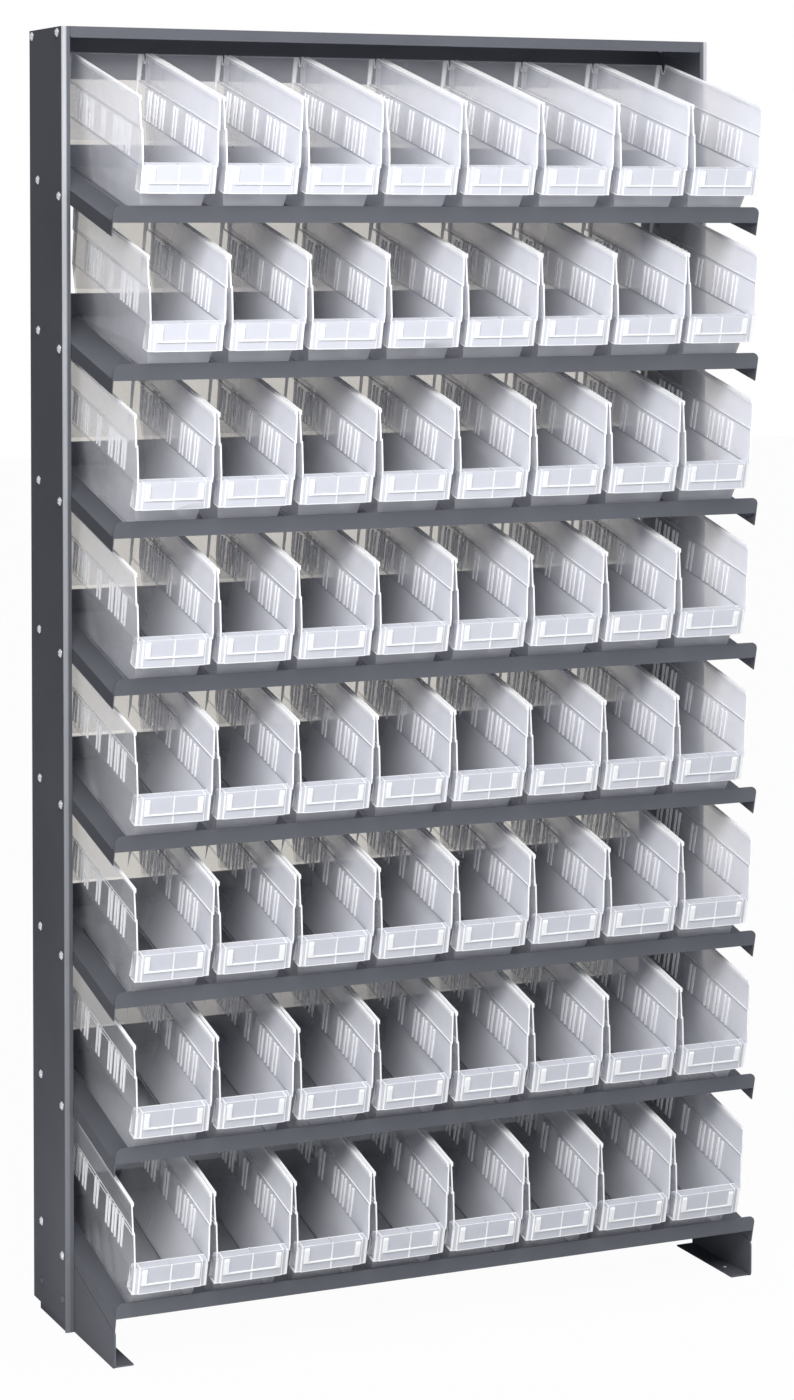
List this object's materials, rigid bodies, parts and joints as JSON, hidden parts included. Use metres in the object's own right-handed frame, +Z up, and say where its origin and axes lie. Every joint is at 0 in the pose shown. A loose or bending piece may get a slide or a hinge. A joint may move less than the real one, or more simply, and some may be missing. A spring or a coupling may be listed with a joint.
{
  "type": "bin pick rack",
  "caption": "Free-standing steel rack with sloped shelves that hold rows of clear, open-front plastic picking bins.",
  "frame": {"origin": "on the floor, under the middle of the whole part's outline", "axes": "+X to the right seen from the front, +Y to the back, +Z up"},
  "size_m": [0.922, 0.3214, 1.6402],
  "materials": {
    "rack_steel": "grey powder coat, satin",
    "bin_plastic": "clear moulded polypropylene, slightly milky",
    "zinc": "bright zinc plate"
  },
  "bodies": {
    "rack": {"left_upright": "rack_steel", "right_upright": "rack_steel", "top_cap": "rack_steel", "left_foot": "rack_steel", "right_foot": "rack_steel", "shelf_1": "rack_steel", "shelf_2": "rack_steel", "shelf_3": "rack_steel", "shelf_4": "rack_steel", "shelf_5": "rack_steel", "shelf_6": "rack_steel", "shelf_7": "rack_steel", "shelf_8": "rack_steel", "bins_1": "bin_plastic", "bins_2": "bin_plastic", "bins_3": "bin_plastic", "bins_4": "bin_plastic", "bins_5": "bin_plastic", "bins_6": "bin_plastic", "bins_7": "bin_plastic", "bins_8": "bin_plastic", "shelf_screws": "zinc", "cap_screws": "zinc", "foot_screws": "zinc", "lock_nuts": "zinc"},
    "bin_1_1": {"bin_1_1": "bin_plastic"},
    "bin_1_3": {"bin_1_3": "bin_plastic"},
    "bin_1_5": {"bin_1_5": "bin_plastic"},
    "bin_1_7": {"bin_1_7": "bin_plastic"},
    "bin_2_2": {"bin_2_2": "bin_plastic"},
    "bin_2_4": {"bin_2_4": "bin_plastic"},
    "bin_2_6": {"bin_2_6": "bin_plastic"},
    "bin_2_8": {"bin_2_8": "bin_plastic"},
    "bin_3_1": {"bin_3_1": "bin_plastic"},
    "bin_3_3": {"bin_3_3": "bin_plastic"},
    "bin_3_5": {"bin_3_5": "bin_plastic"},
    "bin_3_7": {"bin_3_7": "bin_plastic"},
    "bin_4_2": {"bin_4_2": "bin_plastic"},
    "bin_4_4": {"bin_4_4": "bin_plastic"},
    "bin_4_6": {"bin_4_6": "bin_plastic"},
    "bin_4_8": {"bin_4_8": "bin_plastic"},
    "bin_5_1": {"bin_5_1": "bin_plastic"},
    "bin_5_3": {"bin_5_3": "bin_plastic"},
    "bin_5_5": {"bin_5_5": "bin_plastic"},
    "bin_5_7": {"bin_5_7": "bin_plastic"},
    "bin_6_2": {"bin_6_2": "bin_plastic"},
    "bin_6_4": {"bin_6_4": "bin_plastic"},
    "bin_6_6": {"bin_6_6": "bin_plastic"},
    "bin_6_8": {"bin_6_8": "bin_plastic"},
    "bin_7_1": {"bin_7_1": "bin_plastic"},
    "bin_7_3": {"bin_7_3": "bin_plastic"},
    "bin_7_5": {"bin_7_5": "bin_plastic"},
    "bin_7_7": {"bin_7_7": "bin_plastic"},
    "bin_8_2": {"bin_8_2": "bin_plastic"},
    "bin_8_4": {"bin_8_4": "bin_plastic"},
    "bin_8_6": {"bin_8_6": "bin_plastic"},
    "bin_8_8": {"bin_8_8": "bin_plastic"}
  },
  "joints": [
    {"name": "bin_1_1_lift", "type": "hinge", "parent": "rack", "child": "bin_1_1", "pos_m": [-0.3706, 0.14745, 1.46583], "axis": [-1, 0, 0], "range_deg": [0, 5]},
    {"name": "bin_1_3_lift", "type": "hinge", "parent": "rack", "child": "bin_1_3", "pos_m": [-0.1558, 0.14745, 1.46583], "axis": [-1, 0, 0], "range_deg": [0, 5]},
    {"name": "bin_1_5_lift", "type": "hinge", "parent": "rack", "child": "bin_1_5", "pos_m": [0.059, 0.14745, 1.46583], "axis": [-1, 0, 0], "range_deg": [0, 5]},
    {"name": "bin_1_7_lift", "type": "hinge", "parent": "rack", "child": "bin_1_7", "pos_m": [0.2738, 0.14745, 1.46583], "axis": [-1, 0, 0], "range_deg": [0, 5]},
    {"name": "bin_2_2_lift", "type": "hinge", "parent": "rack", "child": "bin_2_2", "pos_m": [-0.25605, 0.14745, 1.27537], "axis": [-1, 0, 0], "range_deg": [0, 5]},
    {"name": "bin_2_4_lift", "type": "hinge", "parent": "rack", "child": "bin_2_4", "pos_m": [-0.04545, 0.14745, 1.27537], "axis": [-1, 0, 0], "range_deg": [0, 5]},
    {"name": "bin_2_6_lift", "type": "hinge", "parent": "rack", "child": "bin_2_6", "pos_m": [0.16515, 0.14745, 1.27537], "axis": [-1, 0, 0], "range_deg": [0, 5]},
    {"name": "bin_2_8_lift", "type": "hinge", "parent": "rack", "child": "bin_2_8", "pos_m": [0.37575, 0.14745, 1.27537], "axis": [-1, 0, 0], "range_deg": [0, 5]},
    {"name": "bin_3_1_lift", "type": "hinge", "parent": "rack", "child": "bin_3_1", "pos_m": [-0.37775, 0.14745, 1.08492], "axis": [-1, 0, 0], "range_deg": [0, 5]},
    {"name": "bin_3_3_lift", "type": "hinge", "parent": "rack", "child": "bin_3_3", "pos_m": [-0.16435, 0.14745, 1.08492], "axis": [-1, 0, 0], "range_deg": [0, 5]},
    {"name": "bin_3_5_lift", "type": "hinge", "parent": "rack", "child": "bin_3_5", "pos_m": [0.04905, 0.14745, 1.08492], "axis": [-1, 0, 0], "range_deg": [0, 5]},
    {"name": "bin_3_7_lift", "type": "hinge", "parent": "rack", "child": "bin_3_7", "pos_m": [0.26245, 0.14745, 1.08492], "axis": [-1, 0, 0], "range_deg": [0, 5]},
    {"name": "bin_4_2_lift", "type": "hinge", "parent": "rack", "child": "bin_4_2", "pos_m": [-0.2721, 0.14745, 0.89446], "axis": [-1, 0, 0], "range_deg": [0, 5]},
    {"name": "bin_4_4_lift", "type": "hinge", "parent": "rack", "child": "bin_4_4", "pos_m": [-0.0601, 0.14745, 0.89446], "axis": [-1, 0, 0], "range_deg": [0, 5]},
    {"name": "bin_4_6_lift", "type": "hinge", "parent": "rack", "child": "bin_4_6", "pos_m": [0.1519, 0.14745, 0.89446], "axis": [-1, 0, 0], "range_deg": [0, 5]},
    {"name": "bin_4_8_lift", "type": "hinge", "parent": "rack", "child": "bin_4_8", "pos_m": [0.3639, 0.14745, 0.89446], "axis": [-1, 0, 0], "range_deg": [0, 5]},
    {"name": "bin_5_1_lift", "type": "hinge", "parent": "rack", "child": "bin_5_1", "pos_m": [-0.3795, 0.14745, 0.704], "axis": [-1, 0, 0], "range_deg": [0, 5]},
    {"name": "bin_5_3_lift", "type": "hinge", "parent": "rack", "child": "bin_5_3", "pos_m": [-0.1675, 0.14745, 0.704], "axis": [-1, 0, 0], "range_deg": [0, 5]},
    {"name": "bin_5_5_lift", "type": "hinge", "parent": "rack", "child": "bin_5_5", "pos_m": [0.0445, 0.14745, 0.704], "axis": [-1, 0, 0], "range_deg": [0, 5]},
    {"name": "bin_5_7_lift", "type": "hinge", "parent": "rack", "child": "bin_5_7", "pos_m": [0.2565, 0.14745, 0.704], "axis": [-1, 0, 0], "range_deg": [0, 5]},
    {"name": "bin_6_2_lift", "type": "hinge", "parent": "rack", "child": "bin_6_2", "pos_m": [-0.2731, 0.14745, 0.51354], "axis": [-1, 0, 0], "range_deg": [0, 5]},
    {"name": "bin_6_4_lift", "type": "hinge", "parent": "rack", "child": "bin_6_4", "pos_m": [-0.0587, 0.14745, 0.51354], "axis": [-1, 0, 0], "range_deg": [0, 5]},
    {"name": "bin_6_6_lift", "type": "hinge", "parent": "rack", "child": "bin_6_6", "pos_m": [0.1557, 0.14745, 0.51354], "axis": [-1, 0, 0], "range_deg": [0, 5]},
    {"name": "bin_6_8_lift", "type": "hinge", "parent": "rack", "child": "bin_6_8", "pos_m": [0.3701, 0.14745, 0.51354], "axis": [-1, 0, 0], "range_deg": [0, 5]},
    {"name": "bin_7_1_lift", "type": "hinge", "parent": "rack", "child": "bin_7_1", "pos_m": [-0.38125, 0.14745, 0.32309], "axis": [-1, 0, 0], "range_deg": [0, 5]},
    {"name": "bin_7_3_lift", "type": "hinge", "parent": "rack", "child": "bin_7_3", "pos_m": [-0.16705, 0.14745, 0.32309], "axis": [-1, 0, 0], "range_deg": [0, 5]},
    {"name": "bin_7_5_lift", "type": "hinge", "parent": "rack", "child": "bin_7_5", "pos_m": [0.04715, 0.14745, 0.32309], "axis": [-1, 0, 0], "range_deg": [0, 5]},
    {"name": "bin_7_7_lift", "type": "hinge", "parent": "rack", "child": "bin_7_7", "pos_m": [0.26135, 0.14745, 0.32309], "axis": [-1, 0, 0], "range_deg": [0, 5]},
    {"name": "bin_8_2_lift", "type": "hinge", "parent": "rack", "child": "bin_8_2", "pos_m": [-0.27825, 0.14745, 0.13263], "axis": [-1, 0, 0], "range_deg": [0, 5]},
    {"name": "bin_8_4_lift", "type": "hinge", "parent": "rack", "child": "bin_8_4", "pos_m": [-0.06565, 0.14745, 0.13263], "axis": [-1, 0, 0], "range_deg": [0, 5]},
    {"name": "bin_8_6_lift", "type": "hinge", "parent": "rack", "child": "bin_8_6", "pos_m": [0.14695, 0.14745, 0.13263], "axis": [-1, 0, 0], "range_deg": [0, 5]},
    {"name": "bin_8_8_lift", "type": "hinge", "parent": "rack", "child": "bin_8_8", "pos_m": [0.35955, 0.14745, 0.13263], "axis": [-1, 0, 0], "range_deg": [0, 5]}
  ]
}
